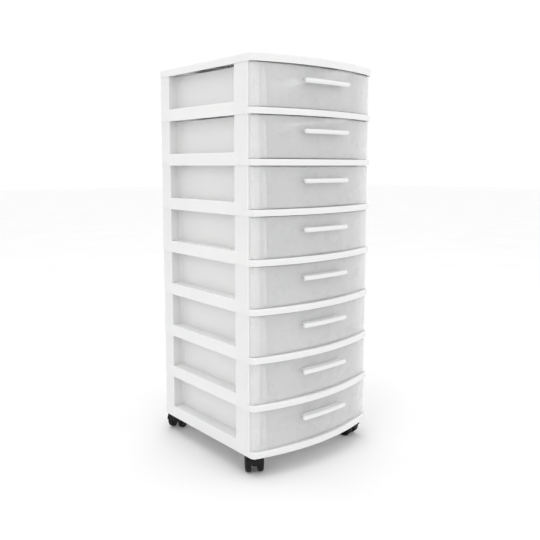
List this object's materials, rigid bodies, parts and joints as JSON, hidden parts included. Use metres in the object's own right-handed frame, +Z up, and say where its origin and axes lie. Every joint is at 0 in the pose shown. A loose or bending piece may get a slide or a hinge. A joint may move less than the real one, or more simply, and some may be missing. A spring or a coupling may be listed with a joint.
{
  "type": "plastic drawer tower",
  "caption": "Narrow tower of stacked white plastic tiers with clear pull-out drawers, bowed fronts and bar handles, rolling on twin-wheel swivel casters.",
  "frame": {"origin": "on the floor, under the middle of the whole tower's bounding box", "axes": "+Z up, -Y towards the drawer fronts, +X to the right of someone facing +Y"},
  "size_m": [0.32, 0.3732, 0.7895],
  "materials": {
    "white_shell": "satin white moulded plastic",
    "clear_drawer": "clear, slightly frosted moulded plastic",
    "white_handle": "glossy white moulded plastic",
    "black_body": "satin black plastic",
    "black_wheel": "satin black hard plastic",
    "steel": "plain bright steel"
  },
  "bodies": {
    "tower": {"lid": "white_shell", "frame_1": "white_shell", "frame_2": "white_shell", "frame_3": "white_shell", "frame_4": "white_shell", "frame_5": "white_shell", "frame_6": "white_shell", "frame_7": "white_shell", "frame_8": "white_shell", "front_left_grip_ring": "steel", "front_right_grip_ring": "steel", "back_left_grip_ring": "steel", "back_right_grip_ring": "steel"},
    "drawer_1_body": {"drawer_1": "clear_drawer", "handle_1": "white_handle"},
    "drawer_2_body": {"drawer_2": "clear_drawer", "handle_2": "white_handle"},
    "drawer_3_body": {"drawer_3": "clear_drawer", "handle_3": "white_handle"},
    "drawer_4_body": {"drawer_4": "clear_drawer", "handle_4": "white_handle"},
    "drawer_5_body": {"drawer_5": "clear_drawer", "handle_5": "white_handle"},
    "drawer_6_body": {"drawer_6": "clear_drawer", "handle_6": "white_handle"},
    "drawer_7_body": {"drawer_7": "clear_drawer", "handle_7": "white_handle"},
    "drawer_8_body": {"drawer_8": "clear_drawer", "handle_8": "white_handle"},
    "front_left_caster": {"front_left_hood": "black_body", "front_left_stem": "steel", "front_left_axle": "steel"},
    "front_left_left_wheel": {"front_left_wheel_left": "black_wheel"},
    "front_left_right_wheel": {"front_left_wheel_right": "black_wheel"},
    "front_right_caster": {"front_right_hood": "black_body", "front_right_stem": "steel", "front_right_axle": "steel"},
    "front_right_left_wheel": {"front_right_wheel_left": "black_wheel"},
    "front_right_right_wheel": {"front_right_wheel_right": "black_wheel"},
    "back_left_caster": {"back_left_hood": "black_body", "back_left_stem": "steel", "back_left_axle": "steel"},
    "back_left_left_wheel": {"back_left_wheel_left": "black_wheel"},
    "back_left_right_wheel": {"back_left_wheel_right": "black_wheel"},
    "back_right_caster": {"back_right_hood": "black_body", "back_right_stem": "steel", "back_right_axle": "steel"},
    "back_right_left_wheel": {"back_right_wheel_left": "black_wheel"},
    "back_right_right_wheel": {"back_right_wheel_right": "black_wheel"}
  },
  "joints": [
    {"name": "drawer_1_slide", "type": "slide", "parent": "tower", "child": "drawer_1_body", "axis": [0, -1, 0], "range_m": [0, 0.24]},
    {"name": "drawer_2_slide", "type": "slide", "parent": "tower", "child": "drawer_2_body", "axis": [0, -1, 0], "range_m": [0, 0.24]},
    {"name": "drawer_3_slide", "type": "slide", "parent": "tower", "child": "drawer_3_body", "axis": [0, -1, 0], "range_m": [0, 0.24]},
    {"name": "drawer_4_slide", "type": "slide", "parent": "tower", "child": "drawer_4_body", "axis": [0, -1, 0], "range_m": [0, 0.24]},
    {"name": "drawer_5_slide", "type": "slide", "parent": "tower", "child": "drawer_5_body", "axis": [0, -1, 0], "range_m": [0, 0.24]},
    {"name": "drawer_6_slide", "type": "slide", "parent": "tower", "child": "drawer_6_body", "axis": [0, -1, 0], "range_m": [0, 0.24]},
    {"name": "drawer_7_slide", "type": "slide", "parent": "tower", "child": "drawer_7_body", "axis": [0, -1, 0], "range_m": [0, 0.24]},
    {"name": "drawer_8_slide", "type": "slide", "parent": "tower", "child": "drawer_8_body", "axis": [0, -1, 0], "range_m": [0, 0.24]},
    {"name": "front_left_swivel", "type": "hinge", "parent": "tower", "child": "front_left_caster", "pos_m": [-0.1397, -0.13103, 0.042], "axis": [0, 0, 1], "continuous": true},
    {"name": "front_left_left_spin", "type": "hinge", "parent": "front_left_caster", "child": "front_left_left_wheel", "pos_m": [-0.13099, -0.11761, 0.019], "axis": [0.8387, -0.5446, 0], "continuous": true},
    {"name": "front_left_right_spin", "type": "hinge", "parent": "front_left_caster", "child": "front_left_right_wheel", "pos_m": [-0.13099, -0.11761, 0.019], "axis": [0.8387, -0.5446, 0], "continuous": true},
    {"name": "front_right_swivel", "type": "hinge", "parent": "tower", "child": "front_right_caster", "pos_m": [0.1397, -0.13103, 0.042], "axis": [0, 0, 1], "continuous": true},
    {"name": "front_right_left_spin", "type": "hinge", "parent": "front_right_caster", "child": "front_right_left_wheel", "pos_m": [0.13692, -0.11527, 0.019], "axis": [0.9848, 0.1736, 0], "continuous": true},
    {"name": "front_right_right_spin", "type": "hinge", "parent": "front_right_caster", "child": "front_right_right_wheel", "pos_m": [0.13692, -0.11527, 0.019], "axis": [0.9848, 0.1736, 0], "continuous": true},
    {"name": "back_left_swivel", "type": "hinge", "parent": "tower", "child": "back_left_caster", "pos_m": [-0.1397, 0.15357, 0.042], "axis": [0, 0, 1], "continuous": true},
    {"name": "back_left_left_spin", "type": "hinge", "parent": "back_left_caster", "child": "back_left_left_wheel", "pos_m": [-0.12613, 0.16205, 0.019], "axis": [0.5299, -0.848, 0], "continuous": true},
    {"name": "back_left_right_spin", "type": "hinge", "parent": "back_left_caster", "child": "back_left_right_wheel", "pos_m": [-0.12613, 0.16205, 0.019], "axis": [0.5299, -0.848, 0], "continuous": true},
    {"name": "back_right_swivel", "type": "hinge", "parent": "tower", "child": "back_right_caster", "pos_m": [0.1397, 0.15357, 0.042], "axis": [0, 0, 1], "continuous": true},
    {"name": "back_right_left_spin", "type": "hinge", "parent": "back_right_caster", "child": "back_right_left_wheel", "pos_m": [0.12709, 0.14372, 0.019], "axis": [-0.6157, 0.788, 0], "continuous": true},
    {"name": "back_right_right_spin", "type": "hinge", "parent": "back_right_caster", "child": "back_right_right_wheel", "pos_m": [0.12709, 0.14372, 0.019], "axis": [-0.6157, 0.788, 0], "continuous": true}
  ]
}
